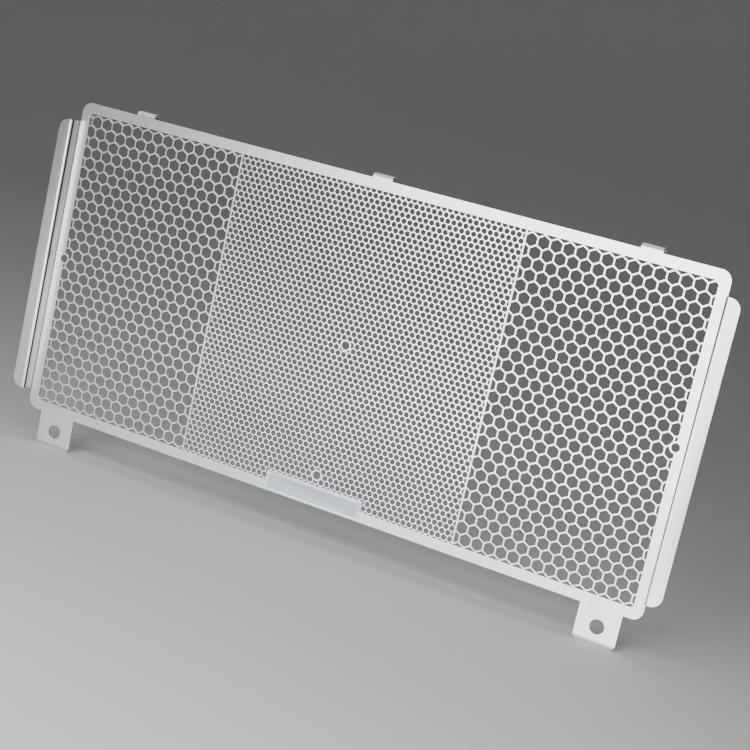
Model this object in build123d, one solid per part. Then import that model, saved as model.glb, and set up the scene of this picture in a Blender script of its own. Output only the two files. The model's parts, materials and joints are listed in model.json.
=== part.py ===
from build123d import *
import os
from math import ceil, hypot, sqrt

# Motorcycle radiator guard: one etched and folded stainless sheet, with a badge plate stuck on its border.
# X runs along the panel, Z is up and the front faces -Y. The origin lies midway between the two tab bolts,
# on the back of the tabs, where they seat. All sizes are in millimetres.

# Sheet and folds
sheet = 0.8
fold_radius = 0.8

# Panel and its border
panel_width = 334.0
panel_height = 158.0
panel_corner = 5.0
border = 5.0
window_corner = 2.0

# Bolt tabs under the panel
tab_width = 20.0
tab_length = 17.0
tab_corner = 2.5
bolt_hole = 7.0
bolt_drop = 8.7
bolt_spacing = 297.0

# Side wings, stepped forward and then folded outward
wing_length = 138.0
wing_root = 0.2
wing_step = 6.5
wing_flange = 5.2
wing_corner = 5.0

# Hooks along the top edge, folded back and down over the radiator's upper flange
hook_width = 10.0
hook_spacing = 130.4
hook_root = 0.5
hook_gap = 4.8
hook_lip = 5.7

# Hexagon mesh: real pitch and web of each field, and how many real holes in a row one modelled hole spans
side_pitch = 6.0
side_web = 0.7
middle_pitch = 3.0
middle_web = 0.5
mesh_merge = 3.5
smallest_cut_share = 0.1

# Ribs between the middle field and the side fields
field_spacing = 147.3
rib_width = 0.8

# Pin holes, each with a plain rim in the mesh
pin_hole = 4.0
pin_rim = 0.8
lower_pin_drop = 64.0

# Badge plate and the land that carries it
badge_width = 50.0
badge_height = 8.3
badge_corner = 0.6
badge_base = 0.6
badge_rim_width = 0.6
badge_rim_height = 0.3
badge_margin = 1.1
land_margin = 0.8

# Places that follow from the sizes
panel_bottom = bolt_drop
panel_middle = panel_bottom + panel_height / 2
panel_top = panel_bottom + panel_height
panel_side = panel_width / 2
window_side = panel_side - border
window_height = panel_height - 2 * border
rim_radius = pin_hole / 2 + pin_rim
middle_pins = [(0, panel_middle), (0, panel_middle - lower_pin_drop)]
side_pins = [(-window_side, panel_middle), (window_side, panel_middle)]
pin_places = middle_pins + side_pins


def mesh_fields():
    """Left, middle and right field of the mesh, less the badge's land and the rims of the pin holes."""
    window = Pos(0, panel_middle) * RectangleRounded(2 * window_side, window_height, window_corner)
    land_width = badge_width + 2 * land_margin
    land_height = badge_margin + badge_height + land_margin
    window -= Pos(0, panel_bottom + land_height / 2) * Rectangle(land_width, land_height)
    for place in pin_places:
        window -= Pos(*place) * Circle(rim_radius)
    middle_width = field_spacing - rib_width
    side_width = window_side - (field_spacing + rib_width) / 2
    side_middle = window_side - side_width / 2
    spans = [(-side_middle, side_width), (0, middle_width), (side_middle, side_width)]
    return [window & Pos(x, panel_middle) * Rectangle(width, window_height) for x, width in spans]


def leaves_rim_loose(x, z, apothem):
    """True where a hexagon hole here would take away what carries a rim. The border carries the side rims."""
    return any(hypot(x - pin_x, z - pin_z) < apothem for pin_x, pin_z in middle_pins)


def hexagon_holes(field, pitch, web, first_column, first_row):
    """Hexagon holes that stand on a corner, cut off at the field's edge, with slivers left closed."""
    column_pitch = pitch * mesh_merge
    row_pitch = column_pitch * sqrt(3) / 2
    apothem = (pitch - web) * mesh_merge / 2
    hexagon = Rot(0, 0, 30) * RegularPolygon(apothem, 6, major_radius=False)
    edges = field.bounding_box()
    columns = ceil(panel_side / column_pitch) + 1
    rows = ceil(panel_height / 2 / row_pitch) + 1
    holes = []
    for row in range(-rows, rows + 1):
        z = panel_middle + (row + first_row) * row_pitch
        for column in range(-columns, columns + 1):
            x = (column + first_column + (row % 2) / 2) * column_pitch
            reached = edges.min.X - column_pitch < x < edges.max.X + column_pitch
            if reached and not leaves_rim_loose(x, z, apothem):
                cut_hexagon = Pos(x, z) * hexagon & field
                holes += cut_hexagon.faces().filter_by(
                    lambda face: face.area > smallest_cut_share * hexagon.area
                )
    return holes


def flat_panel():
    """The flat of the sheet: border, bolt tabs, mesh and round holes."""
    outline = Pos(0, panel_middle) * RectangleRounded(panel_width, panel_height, panel_corner)
    tab = Rectangle(tab_width, tab_length + border, align=(Align.CENTER, Align.MIN))
    tab = fillet(tab.vertices().group_by(Axis.Y)[0], tab_corner)
    bolt_places = [(-bolt_spacing / 2, 0), (bolt_spacing / 2, 0)]
    for x, _ in bolt_places:
        outline += Pos(x, panel_bottom - tab_length) * tab
    left, middle, right = mesh_fields()
    # The side fields share one lattice, with the middle of a web at the panel's middle.
    # The middle field has a corner where three webs meet there.
    holes = hexagon_holes(left, side_pitch, side_web, 1 / 4, 1 / 2)
    holes += hexagon_holes(right, side_pitch, side_web, 1 / 4, 1 / 2)
    holes += hexagon_holes(middle, middle_pitch, middle_web, 0, 2 / 3)
    holes += [Pos(*place) * Circle(pin_hole / 2) for place in pin_places]
    holes += [Pos(*place) * Circle(bolt_hole / 2) for place in bolt_places]
    return extrude(Plane.XZ * (outline - holes), sheet)


def folded_strip(line, side, plane, width):
    """A strip of the sheet that follows a folded line, with the plane at the middle of its width."""
    section = make_face(offset(line, sheet, side=side))
    return extrude(plane * section, width / 2, both=True)


def right_wing():
    """The right wing: forward from the panel's edge, then outward to a flange with rounded corners."""
    wall = panel_side + wing_root + fold_radius + sheet
    flange_edge = wall + fold_radius + wing_flange
    back_of_wing = FilletPolyline(
        (panel_side, 0),
        (wall, 0),
        (wall, -wing_step),
        (flange_edge, -wing_step),
        radius=[fold_radius + sheet, fold_radius],
    )
    wing = folded_strip(back_of_wing, Side.RIGHT, Plane.XY.offset(panel_middle), wing_length)
    flange_corners = wing.edges().filter_by(Axis.Y).group_by(Axis.X)[-1]
    return fillet(flange_corners, min(wing_corner, wing_flange))


def top_hook():
    """One hook at the panel's middle: up from the edge, back over the gap and down behind the panel."""
    bridge = panel_top + hook_root + fold_radius
    inside_of_hook = FilletPolyline(
        (0, panel_top),
        (0, bridge),
        (hook_gap, bridge),
        (hook_gap, bridge - hook_lip),
        radius=fold_radius,
    )
    return folded_strip(inside_of_hook, Side.LEFT, Plane.YZ, hook_width)


def guard_sheet():
    """The whole guard, folded from one sheet."""
    wing = right_wing()
    hook = top_hook()
    hooks = [Pos(x, 0, 0) * hook for x in (-hook_spacing, 0, hook_spacing)]
    return flat_panel() + [wing, mirror(wing, Plane.YZ), *hooks]


def badge_plate():
    """The plate on the lower border, with a plain face inside a raised rim."""
    outline = RectangleRounded(badge_width, badge_height, badge_corner)
    face = Rectangle(badge_width - 2 * badge_rim_width, badge_height - 2 * badge_rim_width)
    plate = extrude(outline, badge_base + badge_rim_height)
    plate -= Pos(0, 0, badge_base) * extrude(face, badge_rim_height)
    badge_middle = panel_bottom + badge_margin + badge_height / 2
    return Plane.XZ.offset(sheet) * Pos(0, badge_middle) * plate


os.makedirs("parts", exist_ok=True)
export_step(guard_sheet(), "parts/guard_sheet.step", write_pcurves=False)
export_step(badge_plate(), "parts/badge_plate.step", write_pcurves=False)
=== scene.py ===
import json
from math import ceil, cos, pi, radians, sin, sqrt, tan

import bmesh
import bpy
from mathutils import Matrix, Vector


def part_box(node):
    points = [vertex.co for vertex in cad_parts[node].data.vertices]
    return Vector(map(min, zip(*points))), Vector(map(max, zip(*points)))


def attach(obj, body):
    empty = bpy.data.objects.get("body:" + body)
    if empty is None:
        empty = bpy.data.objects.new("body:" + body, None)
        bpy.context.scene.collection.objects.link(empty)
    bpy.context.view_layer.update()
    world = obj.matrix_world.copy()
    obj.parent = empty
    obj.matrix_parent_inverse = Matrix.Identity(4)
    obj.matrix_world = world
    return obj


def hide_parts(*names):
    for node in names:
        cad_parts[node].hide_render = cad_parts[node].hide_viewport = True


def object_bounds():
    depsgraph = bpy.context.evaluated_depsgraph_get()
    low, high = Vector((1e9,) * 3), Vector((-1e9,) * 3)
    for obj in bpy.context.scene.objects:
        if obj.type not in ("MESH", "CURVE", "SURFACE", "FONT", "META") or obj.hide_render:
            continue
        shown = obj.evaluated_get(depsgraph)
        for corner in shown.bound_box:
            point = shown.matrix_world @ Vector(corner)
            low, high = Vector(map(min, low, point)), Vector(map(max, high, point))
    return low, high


# Looks of the motorcycle radiator guard: the perforated and folded sheet with its mesh at the real pitch,
# the badge plate, and the studio with its light and camera. The sheet is laid out flat in millimetres,
# as it is etched, then stood up, folded and given its thickness. In the flat, x runs along the panel
# and y is the height over the tab bolts.

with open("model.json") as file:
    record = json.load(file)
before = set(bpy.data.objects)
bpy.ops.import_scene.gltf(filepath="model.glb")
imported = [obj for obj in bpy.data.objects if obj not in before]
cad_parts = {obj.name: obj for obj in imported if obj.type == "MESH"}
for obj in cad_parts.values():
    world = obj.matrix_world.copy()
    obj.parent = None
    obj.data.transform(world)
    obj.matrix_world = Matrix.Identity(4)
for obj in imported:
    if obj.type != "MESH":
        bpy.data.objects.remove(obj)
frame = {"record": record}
cad_low, cad_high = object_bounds()

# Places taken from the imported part
to_mm = 1000.0
sheet_low, sheet_high = (corner * to_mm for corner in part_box("guard_sheet"))
badge_low, badge_high = (corner * to_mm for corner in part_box("badge_plate"))
mounts = {mount["name"]: mount for mount in frame["record"]["mounts"]}
bolt_x = mounts["tab_bolts"]["dims"]["spacing_x_mm"] / 2
bolt_radius = mounts["tab_bolts"]["dims"]["hole_r_mm"]
side_pin_x = mounts["side_pins"]["dims"]["spacing_x_mm"] / 2
middle_pin_gap = mounts["middle_pins"]["dims"]["spacing_y_mm"]
pin_radius = mounts["middle_pins"]["dims"]["hole_r_mm"]
panel_middle = mounts["side_pins"]["pos_m"][2] * to_mm

# How close two places count as one, and how close to a cut a corner counts as on it
same_place = 0.01
on_cut = 0.002

# Sheet, panel and border
sheet = 0.8
fold_radius = 0.8
fold_steps = 8
panel_side = 167.0
panel_half_height = 79.0
panel_corner = 5.0
panel_corner_steps = 8
border = 5.0
window_corner = 2.0
window_corner_steps = 5
panel_top = panel_middle + panel_half_height
panel_bottom = panel_middle - panel_half_height
window_side = panel_side - border
window_top = panel_top - border
window_bottom = panel_bottom + border

# Bolt tabs
tab_half_width = 10.0
tab_corner = 2.5
tab_corner_steps = 6
bolt_hole_sides = 40

# Wings: wing_spring is how far the fold at the panel stays open, in degrees,
# and wing_clearance keeps the flange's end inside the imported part's box
wing_half_length = 69.0
wing_corner = 5.0
wing_corner_steps = 8
wing_spring = 4.0
wing_root_radius = 0.2
wing_clearance = 0.001

# Painted shade along the wings: dark lines painted into the sheet's colour along the folds, for the dark
# reflection and shade on each wing's outer bend (crest) and the shade in the corner where the wing leaves
# the panel. Each gives x and y of the line's middle, and half its width.
# The core share is how much of that width is dark all through, and the rest fades out
left_crest_shade = (-167.7, -6.22, 0.58)
left_corner_shade = (-167.3, -1.2, 0.4)
right_crest_shade = (167.95, -6.5, 0.8)
right_corner_shade = (167.3, -1.2, 0.4)
shade_core_share = 0.7

# Hooks
hook_half_width = 5.0
hook_spacing = 130.4
hook_lip = 5.7

# Mesh: the large hexagons at the sides and the fine ones in the middle
side_pitch = 6.0
side_web = 0.7
middle_pitch = 3.0
middle_web = 0.5
middle_corner_share = 0.92
middle_row_rise = 0.31
field_edge = 73.65
rib_width = 0.8

# Pin holes and their plain rims: rim_reach takes in the corners of a rim's outline
rim_width = 0.8
rim_radius = pin_radius + rim_width
rim_sides = 16
rim_reach = rim_radius * 1.1
pin_hole_sides = 24

# Badge plate and the land that carries it
land_margin = 0.8
badge_corner = 0.6
badge_corner_steps = 4
badge_rim_width = 0.5
badge_rim_slope = 0.1
badge_rim_height = 0.3
badge_edge = 0.08
badge_edge_steps = 2

# Finishes: the grain's darkest and lightest tone, and how close the grain lies along x, y and z
stainless_dark = (0.65, 0.65, 0.636)
stainless_light = (0.77, 0.77, 0.755)
stainless_grain = (2200, 2200, 35)
silver_dark = (0.41, 0.46, 0.51)
silver_light = (0.47, 0.52, 0.57)
silver_grain = (60, 2500, 2500)
satin_roughness = 0.30
roughness_change = 0.02
worn_silver = (0.86, 0.88, 0.9)
# Painted shade: the near black of the dark lines painted along the wings' folds
painted_fold_shade = (0.06, 0.06, 0.06)


def lattice_cells(pitch, first_cell, low, high):
    """Hexagons side by side, standing on a corner, well past the corners low and high of a field."""
    spare_columns = 2
    spare_pairs = 1
    row_pitch = pitch * sqrt(3) / 2
    columns_before = ceil((first_cell.x - low.x) / pitch) + spare_columns
    pairs_before = ceil((first_cell.y - low.y) / row_pitch / 2) + spare_pairs
    start_x = first_cell.x - columns_before * pitch
    start_y = first_cell.y - pairs_before * 2 * row_pitch
    columns = ceil((high.x - start_x) / pitch) + spare_columns
    row_pairs = ceil((high.y - start_y) / row_pitch / 2) + spare_pairs
    cells = bmesh.new()
    place = Matrix.Translation((start_x, start_y, 0))
    bmesh.ops.create_circle(cells, cap_ends=True, segments=6, radius=pitch / sqrt(3), matrix=place)
    repeat(cells, (pitch, 0, 0), columns - 1)
    repeat(cells, (pitch / 2, row_pitch, 0), 1)
    repeat(cells, (0, 2 * row_pitch, 0), row_pairs - 1)
    bmesh.ops.remove_doubles(cells, verts=cells.verts, dist=pitch / 100)
    return cells


def repeat(mesh, step, times):
    """Repeats all that is in the mesh along a straight line."""
    bmesh.ops.spin(
        mesh,
        geom=mesh.verts[:] + mesh.edges[:] + mesh.faces[:],
        axis=(0, 0, 1),
        dvec=step,
        angle=0,
        steps=times,
        use_duplicate=True,
    )


def mesh_field(pitch, web, first_cell, low, high):
    """One field of the mesh. The faces of the holes carry material 1 until they are taken out."""
    field = lattice_cells(pitch, first_cell, low, high)
    for face in field.faces:
        face.material_index = 1
    webs = [edge for edge in field.edges if len(edge.link_faces) == 2]
    made = bmesh.ops.bevel(
        field,
        geom=webs,
        offset=web / 2,
        offset_type="OFFSET",
        affect="EDGES",
        segments=1,
        profile=0.5,
        material=-1,
        clamp_overlap=False,
    )
    for face in made["faces"]:
        face.material_index = 0
    return field


def round_holes(field, corner_share):
    """Makes each hexagon hole twelve-sided, with its corners drawn in."""
    holes = [face for face in field.faces if face.material_index == 1]
    sides = list(dict.fromkeys(edge for face in holes for edge in face.edges))
    for hole in holes:
        scale_about(hole.verts, hole.calc_center_median(), corner_share)
    made = bmesh.ops.subdivide_edges(field, edges=sides, cuts=1)["geom_inner"]
    for vert in made:
        if isinstance(vert, bmesh.types.BMVert):
            hole = next(face for face in vert.link_faces if face.material_index == 1)
            scale_about([vert], hole.calc_center_median(), 1 / corner_share)


def scale_about(verts, centre, share):
    """Moves vertices to or from a centre."""
    for vert in verts:
        vert.co = centre + (vert.co - centre) * share


def cut_along(field, point, outward, keep_inside, faces=None):
    """Cuts faces of the flat field along a line. What lies outward of it goes if keep_inside is set."""
    faces = field.faces[:] if faces is None else faces
    edges = dict.fromkeys(edge for face in faces for edge in face.edges)
    verts = dict.fromkeys(vert for face in faces for vert in face.verts)
    bmesh.ops.bisect_plane(
        field,
        geom=[*verts, *edges, *faces],
        plane_co=(*point, 0),
        plane_no=(*outward, 0),
        clear_outer=keep_inside,
        dist=on_cut,
    )


def trim_field(field, low, high, rounded=0):
    """Trims a field to its rectangle. rounded is the side, 1 or -1, whose corners follow the window's."""
    for point, outward in ((low, (-1, 0)), (low, (0, -1)), (high, (1, 0)), (high, (0, 1))):
        cut_along(field, point, outward, True)
    if not rounded:
        return
    corner_x = rounded * (window_side - window_corner)
    for upright in (-1, 1):
        corner_y = high.y - window_corner if upright > 0 else low.y + window_corner
        corner_centre = Vector((corner_x, corner_y))
        for step in range(1, window_corner_steps):
            turn = radians(90 * step / window_corner_steps)
            outward = Vector((rounded * cos(turn), upright * sin(turn)))
            cut_along(field, corner_centre + outward * window_corner, outward, True)


def cut_away(field, corners, reach):
    """Takes a convex outline, given counterclockwise, out of a field. Faces within reach of it are cut."""
    middle = sum(corners, Vector((0, 0))) / len(corners)
    size = max((corner - middle).length for corner in corners) + reach
    sides = []
    for index, corner in enumerate(corners):
        along = corners[index - 1] - corner
        sides.append((corner, Vector((-along.y, along.x)).normalized()))
    for corner, outward in sides:
        near = [face for face in field.faces if (face.calc_center_median().xy - middle).length < size]
        cut_along(field, corner, outward, False, near)
    inside = [
        face for face in field.faces
        if all((face.calc_center_median().xy - corner).dot(outward) < 0 for corner, outward in sides)
    ]
    bmesh.ops.delete(field, geom=inside, context="FACES")


def rim_outline(pin):
    """Corners of the plain rim round a pin hole, counterclockwise."""
    corner_radius = rim_radius / cos(pi / rim_sides)
    turns = [2 * pi * (index + 0.5) / rim_sides for index in range(rim_sides)]
    return [pin + Vector((cos(turn), sin(turn))) * corner_radius for turn in turns]


def land_outline():
    """Corners of the land that carries the badge, counterclockwise."""
    land_side = badge_high.x + land_margin
    land_top = badge_high.z + land_margin
    return [
        Vector((-land_side, panel_bottom)),
        Vector((land_side, panel_bottom)),
        Vector((land_side, land_top)),
        Vector((-land_side, land_top)),
    ]


def middle_pins():
    """Places of the two pin holes on the panel's centre line."""
    return [Vector((0, panel_middle)), Vector((0, panel_middle - middle_pin_gap))]


def side_pin(side):
    """Place of the pin hole at the inner edge of a side border. side is 1 or -1."""
    return Vector((side * side_pin_x, panel_middle))


def side_field(side):
    """Field of large hexagons, cut to shape and still with faces in its holes. side is 1 or -1."""
    first_cell = Vector((side_pitch / 4, panel_middle + side_pitch * sqrt(3) / 4))
    inner_edge = field_edge + rib_width / 2
    ends = sorted((side * inner_edge, side * window_side))
    low = Vector((ends[0], window_bottom))
    high = Vector((ends[1], window_top))
    field = mesh_field(side_pitch, side_web, first_cell, low, high)
    trim_field(field, low, high, side)
    cut_away(field, rim_outline(side_pin(side)), side_pitch)
    return field


def middle_field():
    """Field of fine hexagons, cut to shape and still with faces in its holes."""
    first_cell = Vector((0, panel_middle + middle_row_rise * middle_pitch * sqrt(3) / 2))
    outer_edge = field_edge - rib_width / 2
    low = Vector((-outer_edge, window_bottom))
    high = Vector((outer_edge, window_top))
    field = mesh_field(middle_pitch, middle_web, first_cell, low, high)
    round_holes(field, middle_corner_share)
    trim_field(field, low, high)
    for pin in middle_pins():
        cut_away(field, rim_outline(pin), middle_pitch)
    cut_away(field, land_outline(), middle_pitch)
    return field


def join_in(blank, piece):
    """Adds one flat mesh to another."""
    held = bpy.data.meshes.new("held")
    piece.to_mesh(held)
    piece.free()
    blank.from_mesh(held)
    bpy.data.meshes.remove(held)


def round_corners(mesh, places, radius, segments):
    """Rounds the corners of a flat piece that lie at these places."""
    corners = [vert for vert in mesh.verts if any((vert.co - place).length < same_place for place in places)]
    bmesh.ops.bevel(
        mesh,
        geom=corners,
        offset=radius,
        offset_type="OFFSET",
        affect="VERTICES",
        segments=segments,
        profile=0.5,
        material=-1,
        clamp_overlap=False,
    )


def blank_outline():
    """Outer edge of the flat panel with its tabs, and with points where wings and hooks fold off."""
    tab_inner = bolt_x - tab_half_width
    tab_outer = bolt_x + tab_half_width
    tab_bottom = sheet_low.z
    right_half = [
        (tab_inner, panel_bottom),
        (tab_inner, tab_bottom),
        (tab_outer, tab_bottom),
        (tab_outer, panel_bottom),
        (panel_side, panel_bottom),
        (panel_side, panel_middle - wing_half_length),
        (panel_side, panel_middle + wing_half_length),
        (panel_side, panel_top),
        (hook_spacing + hook_half_width, panel_top),
        (hook_spacing - hook_half_width, panel_top),
        (hook_half_width, panel_top),
    ]
    left_half = [(-x, y) for x, y in reversed(right_half)]
    outline = bmesh.new()
    outline.faces.new([outline.verts.new((x, y, 0)) for x, y in right_half + left_half])
    for side in (-1, 1):
        tab_ends = [Vector((side * x, tab_bottom, 0)) for x in (tab_inner, tab_outer)]
        round_corners(outline, tab_ends, tab_corner, tab_corner_steps)
        panel_ends = [Vector((side * panel_side, y, 0)) for y in (panel_bottom, panel_top)]
        round_corners(outline, panel_ends, panel_corner, panel_corner_steps)
    bmesh.ops.delete(outline, geom=outline.faces[:], context="FACES_ONLY")
    return outline


def hole_edge(mesh, centre, radius, segments):
    """Round edge of a hole in the flat. Gives its edges."""
    place = Matrix.Translation((*centre, 0))
    made = bmesh.ops.create_circle(mesh, segments=segments, radius=radius, matrix=place)
    return list(dict.fromkeys(edge for vert in made["verts"] for edge in vert.link_edges))


def edges_near(mesh, centre, reach):
    """Edges of a flat mesh with both ends within reach of a centre."""
    return [edge for edge in mesh.edges if all((vert.co.xy - centre).length < reach for vert in edge.verts)]


def flat_sheet():
    """The etched blank: fields, border, ribs, land and rims in one flat mesh."""
    blank = bmesh.new()
    for field in (side_field(-1), side_field(1), middle_field()):
        join_in(blank, field)
    for pin in middle_pins():
        rim = [edge for edge in edges_near(blank, pin, rim_reach) if len(edge.link_faces) == 1]
        rim += hole_edge(blank, pin, pin_radius, pin_hole_sides)
        bmesh.ops.triangle_fill(blank, use_beauty=True, edges=rim, normal=(0, 0, 1))
    join_in(blank, blank_outline())
    for side in (-1, 1):
        hole_edge(blank, side_pin(side), pin_radius, pin_hole_sides)
    for side in (-1, 1):
        hole_edge(blank, Vector((side * bolt_x, 0)), bolt_radius, bolt_hole_sides)
    done = {edge for pin in middle_pins() for edge in edges_near(blank, pin, pin_radius + same_place)}
    open_edges = [edge for edge in blank.edges if len(edge.link_faces) < 2 and edge not in done]
    bmesh.ops.triangle_fill(blank, use_beauty=True, edges=open_edges, normal=(0, 0, 1))
    holes = [face for face in blank.faces if face.material_index == 1]
    bmesh.ops.delete(blank, geom=holes, context="FACES")
    return blank


def edge_between(mesh, first, second):
    """The edge that joins two places."""
    for edge in mesh.edges:
        ends = [vert.co for vert in edge.verts]
        for start, end in (ends, reversed(ends)):
            if (start - first).length < same_place and (end - second).length < same_place:
                return edge
    raise ValueError("no edge of the sheet joins these places")


def run_on(mesh, edge, way):
    """Carries the sheet straight on from an edge. Gives the new edge."""
    made = bmesh.ops.extrude_edge_only(mesh, edges=[edge])["geom"]
    ends = [item for item in made if isinstance(item, bmesh.types.BMVert)]
    bmesh.ops.translate(mesh, verts=ends, vec=way)
    edges = [item for item in made if isinstance(item, bmesh.types.BMEdge)]
    return next(edge for edge in edges if set(edge.verts) == set(ends))


def bend_on(mesh, edge, centre, axis, angle):
    """Carries the sheet round a bend from an edge. Gives the new edge."""
    made = bmesh.ops.spin(
        mesh, geom=[*edge.verts, edge], cent=centre, axis=axis, angle=radians(angle), steps=fold_steps
    )
    return next(item for item in made["geom_last"] if isinstance(item, bmesh.types.BMEdge))


def fold_wing(mesh, side):
    """Folds one wing forward from the panel's edge and then outward to its flange. side is 1 or -1."""
    low = panel_middle - wing_half_length
    high = panel_middle + wing_half_length
    edge = edge_between(mesh, Vector((side * panel_side, 0, low)), Vector((side * panel_side, 0, high)))
    # The fold at the panel is tight and stays a little open, as a sheet that springs back does.
    # The fold at the flange is square, so the flange leans back by as much.
    lean = radians(wing_spring)
    root_radius = wing_root_radius + sheet
    wall_depth = -(sheet_low.y + sheet) - (root_radius + fold_radius) * (1 - sin(lean))
    wall_x = panel_side + root_radius * cos(lean) + wall_depth * tan(lean)
    wall_y = -root_radius * (1 - sin(lean)) - wall_depth
    crest_x = wall_x + fold_radius * cos(lean)
    crest_y = wall_y + fold_radius * sin(lean)
    flange_end = sheet_high.x - wing_clearance - sheet * sin(lean)
    flange_reach = flange_end - crest_x - fold_radius * sin(lean)
    edge = bend_on(mesh, edge, (side * panel_side, -root_radius, 0), (0, 0, 1), -side * (90 - wing_spring))
    edge = run_on(mesh, edge, (side * wall_depth * tan(lean), -wall_depth, 0))
    edge = bend_on(mesh, edge, (side * crest_x, crest_y, 0), (0, 0, 1), side * 90)
    edge = run_on(mesh, edge, (side * flange_reach, flange_reach * tan(lean), 0))
    round_corners(mesh, [vert.co.copy() for vert in edge.verts], wing_corner, wing_corner_steps)


def fold_hook(mesh, middle_x):
    """Folds one hook up from the top edge, back over the gap and down behind the panel."""
    first = Vector((middle_x - hook_half_width, 0, panel_top))
    second = Vector((middle_x + hook_half_width, 0, panel_top))
    edge = edge_between(mesh, first, second)
    bridge = sheet_high.z - sheet
    lip = sheet_high.y - sheet
    bend_height = bridge - fold_radius
    edge = run_on(mesh, edge, (0, 0, bend_height - panel_top))
    edge = bend_on(mesh, edge, (0, fold_radius, bend_height), (1, 0, 0), -90)
    edge = run_on(mesh, edge, (0, lip - 2 * fold_radius, 0))
    edge = bend_on(mesh, edge, (0, lip - fold_radius, bend_height), (1, 0, 0), -90)
    run_on(mesh, edge, (0, 0, fold_radius - hook_lip))


def guard_sheet_mesh():
    """The whole guard in millimetres: flat blank stood up, folded and thickened towards the front."""
    mesh = flat_sheet()
    bmesh.ops.rotate(mesh, verts=mesh.verts, cent=(0, 0, 0), matrix=Matrix.Rotation(radians(90), 3, "X"))
    for side in (-1, 1):
        fold_wing(mesh, side)
    for middle_x in (-hook_spacing, 0, hook_spacing):
        fold_hook(mesh, middle_x)
    bmesh.ops.recalc_face_normals(mesh, faces=mesh.faces)
    backward = sum(face.normal.y * face.calc_area() for face in mesh.faces)
    if backward > 0:
        bmesh.ops.reverse_faces(mesh, faces=mesh.faces[:])
    bmesh.ops.solidify(mesh, geom=mesh.faces[:], thickness=-sheet)
    return mesh


def badge_mesh():
    """The badge plate in millimetres: rounded corners, a raised rim and a plain face."""
    crisp_angle = radians(30)
    mesh = bmesh.new()
    size = badge_high - badge_low
    bmesh.ops.create_cube(mesh, size=1)
    bmesh.ops.scale(mesh, verts=mesh.verts, vec=size)
    bmesh.ops.translate(mesh, verts=mesh.verts, vec=(badge_low + badge_high) / 2)
    upright = [edge for edge in mesh.edges if abs(edge.verts[0].co.y - edge.verts[1].co.y) > size.y / 2]
    round_edges(mesh, upright, badge_corner, badge_corner_steps)
    front = min(mesh.faces, key=lambda face: face.calc_center_median().y)
    bmesh.ops.inset_region(mesh, faces=[front], thickness=badge_rim_width, use_even_offset=True)
    bmesh.ops.inset_region(mesh, faces=[front], thickness=badge_rim_slope, depth=-badge_rim_height)
    crisp = [edge for edge in mesh.edges if edge.calc_face_angle(0) > crisp_angle]
    forward = [edge for edge in crisp if all(vert.co.y < badge_high.y - size.y / 4 for vert in edge.verts)]
    round_edges(mesh, forward, badge_edge, badge_edge_steps)
    return mesh


def round_edges(mesh, edges, radius, segments):
    """Rounds edges of a piece."""
    bmesh.ops.bevel(
        mesh,
        geom=edges,
        offset=radius,
        offset_type="OFFSET",
        affect="EDGES",
        segments=segments,
        profile=0.5,
        material=-1,
        clamp_overlap=True,
    )


def make_piece(name, mesh, material, node):
    """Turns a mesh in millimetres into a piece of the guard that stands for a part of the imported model."""
    crisp_angle = radians(20)
    bmesh.ops.scale(mesh, verts=mesh.verts, vec=(1 / to_mm, 1 / to_mm, 1 / to_mm))
    for face in mesh.faces:
        face.smooth = True
        face.material_index = 0
    data = bpy.data.meshes.new(name)
    mesh.to_mesh(data)
    mesh.free()
    data.set_sharp_from_angle(angle=crisp_angle)
    data.materials.append(material)
    piece = bpy.data.objects.new(name, data)
    bpy.context.scene.collection.objects.link(piece)
    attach(piece, "root")
    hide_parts(node)


def brushed_metal(name, dark, light, grain_scale):
    """Satin metal with a fine grain. grain_scale is how close the grain lies along x, y and z."""
    grain_low = 0.3
    grain_high = 0.7
    material = bpy.data.materials.new(name)
    material.use_nodes = True
    nodes = material.node_tree.nodes
    links = material.node_tree.links
    shader = nodes["Principled BSDF"]
    shader.inputs["Metallic"].default_value = 1.0
    place = nodes.new("ShaderNodeTexCoord")
    stretch = nodes.new("ShaderNodeMapping")
    stretch.inputs["Scale"].default_value = grain_scale
    grain = nodes.new("ShaderNodeTexNoise")
    grain.inputs["Scale"].default_value = 1.0
    grain.inputs["Detail"].default_value = 3.0
    grain.inputs["Roughness"].default_value = 0.6
    tone = nodes.new("ShaderNodeValToRGB")
    tone.color_ramp.elements[0].position = grain_low
    tone.color_ramp.elements[0].color = (*dark, 1)
    tone.color_ramp.elements[1].position = grain_high
    tone.color_ramp.elements[1].color = (*light, 1)
    polish = nodes.new("ShaderNodeMapRange")
    polish.inputs["From Min"].default_value = grain_low
    polish.inputs["From Max"].default_value = grain_high
    polish.inputs["To Min"].default_value = satin_roughness - roughness_change
    polish.inputs["To Max"].default_value = satin_roughness + roughness_change
    links.new(place.outputs["Object"], stretch.inputs["Vector"])
    links.new(stretch.outputs["Vector"], grain.inputs["Vector"])
    links.new(grain.outputs["Fac"], tone.inputs["Fac"])
    links.new(grain.outputs["Fac"], polish.inputs["Value"])
    links.new(tone.outputs["Color"], shader.inputs["Base Color"])
    links.new(polish.outputs["Result"], shader.inputs["Roughness"])
    return material


def paint_over(material, share, colour):
    """Lays a colour over a metal's own tone. share is the socket that says how much of it shows."""
    nodes = material.node_tree.nodes
    links = material.node_tree.links
    shader = nodes["Principled BSDF"]
    mix = nodes.new("ShaderNodeMix")
    mix.data_type = "RGBA"
    under = next(socket for socket in mix.inputs if socket.name == "A" and socket.type == "RGBA")
    over = next(socket for socket in mix.inputs if socket.name == "B" and socket.type == "RGBA")
    mixed = next(socket for socket in mix.outputs if socket.type == "RGBA")
    over.default_value = (*colour, 1)
    links.new(share, mix.inputs["Factor"])
    links.new(shader.inputs["Base Color"].links[0].from_socket, under)
    links.new(mixed, shader.inputs["Base Color"])


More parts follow.
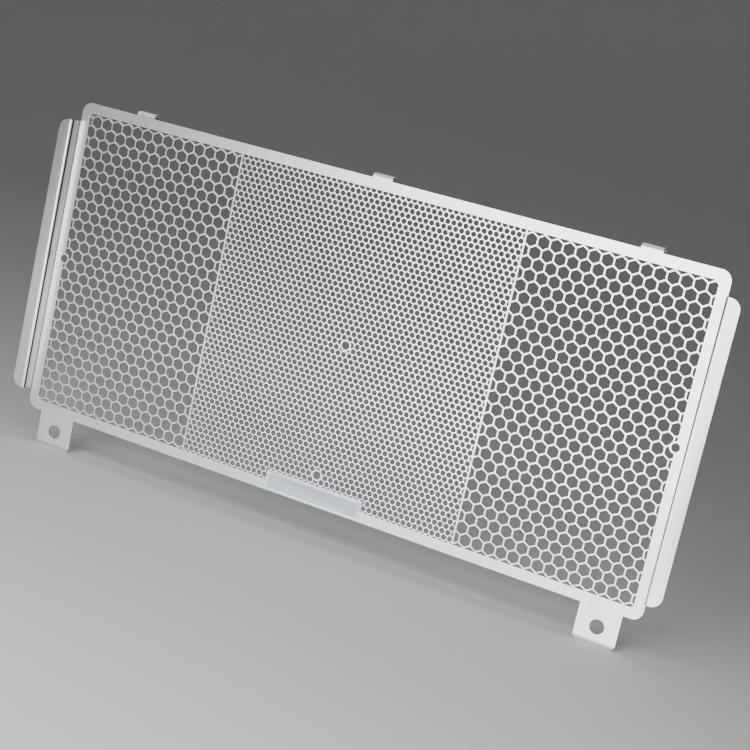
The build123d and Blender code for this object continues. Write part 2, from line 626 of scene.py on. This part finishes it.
def brighten_rim(material, colour):
    """Gives what stands up from the badge's face, its rim, a worn brighter colour."""
    rim_foot = badge_low.y + badge_rim_height * 0.9
    rim_crest = badge_low.y + badge_rim_height * 0.4
    nodes = material.node_tree.nodes
    links = material.node_tree.links
    place = nodes.new("ShaderNodeTexCoord")
    split = nodes.new("ShaderNodeSeparateXYZ")
    height = nodes.new("ShaderNodeMapRange")
    height.inputs["From Min"].default_value = rim_foot / to_mm
    height.inputs["From Max"].default_value = rim_crest / to_mm
    links.new(place.outputs["Object"], split.inputs["Vector"])
    links.new(split.outputs["Y"], height.inputs["Value"])
    paint_over(material, height.outputs["Result"], colour)


def paint_fold_shade(material, shade_lines, colour):
    """Paints shade into the sheet's colour: a dark line along each fold, for the dark reflection on a bend
    and the shade in a fold's corner. Each line is its x and y, and half its width.
    """
    nodes = material.node_tree.nodes
    links = material.node_tree.links
    place = nodes.new("ShaderNodeTexCoord")
    section = nodes.new("ShaderNodeVectorMath")
    section.operation = "MULTIPLY"
    section.inputs[1].default_value = (1, 1, 0)
    links.new(place.outputs["Object"], section.inputs[0])
    for shade_x, shade_y, half_width in shade_lines:
        away = nodes.new("ShaderNodeVectorMath")
        away.operation = "DISTANCE"
        away.inputs[1].default_value = (shade_x / to_mm, shade_y / to_mm, 0)
        line = nodes.new("ShaderNodeMapRange")
        line.inputs["From Min"].default_value = half_width / to_mm
        line.inputs["From Max"].default_value = half_width * shade_core_share / to_mm
        links.new(section.outputs["Vector"], away.inputs[0])
        links.new(away.outputs["Value"], line.inputs["Value"])
        paint_over(material, line.outputs["Result"], colour)


def studio_paint():
    """Matt pale paint of the studio's floor and wall."""
    material = bpy.data.materials.new("studio_paint")
    material.use_nodes = True
    shader = material.node_tree.nodes["Principled BSDF"]
    shader.inputs["Base Color"].default_value = (0.78, 0.78, 0.77, 1)
    shader.inputs["Roughness"].default_value = 0.8
    shader.inputs["Specular IOR Level"].default_value = 0.2
    return material


def studio_bowl():
    """Round floor under the guard that curves up to a wall on every side."""
    floor_radius = 1.2
    cove_radius = 2.0
    cove_steps = 24
    wall_height = 0.6
    wall_steps = 96
    mesh = bmesh.new()
    end = mesh.verts.new((0, 0, cad_low.z))
    end = run_out(mesh, end, (floor_radius, 0, 0))
    made = bmesh.ops.spin(
        mesh,
        geom=[end],
        cent=(floor_radius, 0, cad_low.z + cove_radius),
        axis=(0, 1, 0),
        angle=radians(-90),
        steps=cove_steps,
    )
    end = next(item for item in made["geom_last"] if isinstance(item, bmesh.types.BMVert))
    run_out(mesh, end, (0, 0, wall_height))
    bmesh.ops.spin(
        mesh,
        geom=mesh.verts[:] + mesh.edges[:],
        axis=(0, 0, 1),
        angle=radians(360),
        steps=wall_steps,
        use_merge=True,
    )
    bmesh.ops.remove_doubles(mesh, verts=mesh.verts, dist=0.0001)
    bmesh.ops.recalc_face_normals(mesh, faces=mesh.faces)
    for face in mesh.faces:
        face.smooth = True
    data = bpy.data.meshes.new("studio_bowl")
    mesh.to_mesh(data)
    mesh.free()
    data.materials.append(studio_paint())
    bowl = bpy.data.objects.new("studio_bowl", data)
    bpy.context.scene.collection.objects.link(bowl)


def run_out(mesh, vert, way):
    """Draws a line on from a point. Gives the line's end."""
    made = bmesh.ops.extrude_vert_indiv(mesh, verts=[vert])
    bmesh.ops.translate(mesh, verts=made["verts"], vec=way)
    return made["verts"][0]


def softbox(name, place, target, width, height, power, spread=180.0):
    """A soft light that faces a target. spread is its opening in degrees."""
    light = bpy.data.lights.new(name, "AREA")
    light.shape = "RECTANGLE"
    light.size = width
    light.size_y = height
    light.energy = power
    light.spread = radians(spread)
    lamp = bpy.data.objects.new(name, light)
    bpy.context.scene.collection.objects.link(lamp)
    lamp.location = place
    lamp.rotation_mode = "QUATERNION"
    lamp.rotation_quaternion = (Vector(target) - Vector(place)).to_track_quat("-Z", "Y")


def floor_softbox(name, low, high, brightness):
    """A soft light that lies on the floor between two corners and faces up, for the metal to mirror."""
    over_floor = 0.0005
    width = high[0] - low[0]
    depth = high[1] - low[1]
    place = Vector(((low[0] + high[0]) / 2, (low[1] + high[1]) / 2, cad_low.z + over_floor))
    softbox(name, place, place + Vector((0, 0, 1)), width, depth, pi * width * depth * brightness)


def graded_softbox(name, low, high, dim, bright, strips):
    """A soft light on the floor, in strips side by side that get evenly brighter from left to right."""
    strip_width = (high[0] - low[0]) / strips
    for index in range(strips):
        left = low[0] + index * strip_width
        brightness = dim * (bright / dim) ** (index / (strips - 1))
        floor_softbox(name, (left, low[1]), (left + strip_width, high[1]), brightness)


def hook_lamp(hook_x):
    """A small lamp right over one hook, for its bend to mirror."""
    to_side = -8
    to_back = 14
    rise = 14
    over_hook = Vector((hook_x + to_side, to_back, sheet_high.z + rise)) / to_mm
    on_hook = Vector((hook_x + to_side, to_back, sheet_high.z)) / to_mm
    softbox("hook_lamp", place=over_hook, target=on_hook, width=0.036, height=0.06, power=0.006)


def studio_light():
    """Light on the floor for the panel to mirror, light from the front, above and behind, and a dim fill."""
    graded_softbox(
        "near_softbox",
        low=(-0.26, -0.22),
        high=(0.19, -0.004),
        dim=0.35,
        bright=3.4,
        strips=12,
    )
    graded_softbox(
        "far_softbox",
        low=(-0.5, -1.1),
        high=(0.09, -0.22),
        dim=0.45,
        bright=9.5,
        strips=12,
    )
    floor_softbox("near_left_softbox", low=(-0.6, -0.22), high=(-0.26, -0.004), brightness=0.3)
    floor_softbox("far_left_softbox", low=(-1.0, -1.1), high=(-0.5, -0.22), brightness=0.35)
    softbox(
        "front_softbox",
        place=(-0.12, -1.1, 0.28),
        target=(-0.12, 0, 0.28),
        width=0.74,
        height=0.5,
        power=10,
    )
    softbox(
        "floor_lamp",
        place=(0, -0.35, 0.35),
        target=(0, -0.35, 0),
        width=0.8,
        height=0.3,
        power=1.8,
    )
    softbox(
        "high_back_softbox",
        place=(-0.4, 1.9, 1.5),
        target=(0, 0, 0.08),
        width=1.0,
        height=0.6,
        power=0.8,
        spread=100,
    )
    for hook_x in (-hook_spacing, 0, hook_spacing):
        hook_lamp(hook_x)
    world = bpy.data.worlds.new("studio_air")
    world.use_nodes = True
    air = world.node_tree.nodes["Background"]
    air.inputs["Color"].default_value = (0.9, 0.95, 1.0, 1)
    air.inputs["Strength"].default_value = 0.08
    bpy.context.scene.world = world


def studio_camera():
    """Camera at the photo's viewing angle, turned on its own axis as the photo's was."""
    place = Vector((0.31599, -0.70157, 0.22874))
    target = Vector((0.01785, -0.0008, 0.07853))
    turned = radians(12.77)
    lens = bpy.data.cameras.new("studio_camera")
    lens.sensor_width = 36
    lens.lens = 80.47
    lens.clip_start = 0.05
    lens.clip_end = 20
    lens.dof.use_dof = False
    camera = bpy.data.objects.new("studio_camera", lens)
    bpy.context.scene.collection.objects.link(camera)
    camera.location = place
    camera.rotation_mode = "QUATERNION"
    level = (target - place).to_track_quat("-Z", "Y")
    camera.rotation_quaternion = level @ Matrix.Rotation(turned, 3, "Z").to_quaternion()
    bpy.context.scene.camera = camera


fold_shade_lines = [left_crest_shade, left_corner_shade, right_crest_shade, right_corner_shade]
stainless = brushed_metal("stainless", stainless_dark, stainless_light, stainless_grain)
# Painted shade: dark lines along the wings' folds, painted into the sheet's colour
paint_fold_shade(stainless, fold_shade_lines, painted_fold_shade)
badge_silver = brushed_metal("badge_silver", silver_dark, silver_light, silver_grain)
brighten_rim(badge_silver, worn_silver)
make_piece("perforated_sheet", guard_sheet_mesh(), stainless, "guard_sheet")
make_piece("badge", badge_mesh(), badge_silver, "badge_plate")
studio_bowl()
studio_light()
studio_camera()
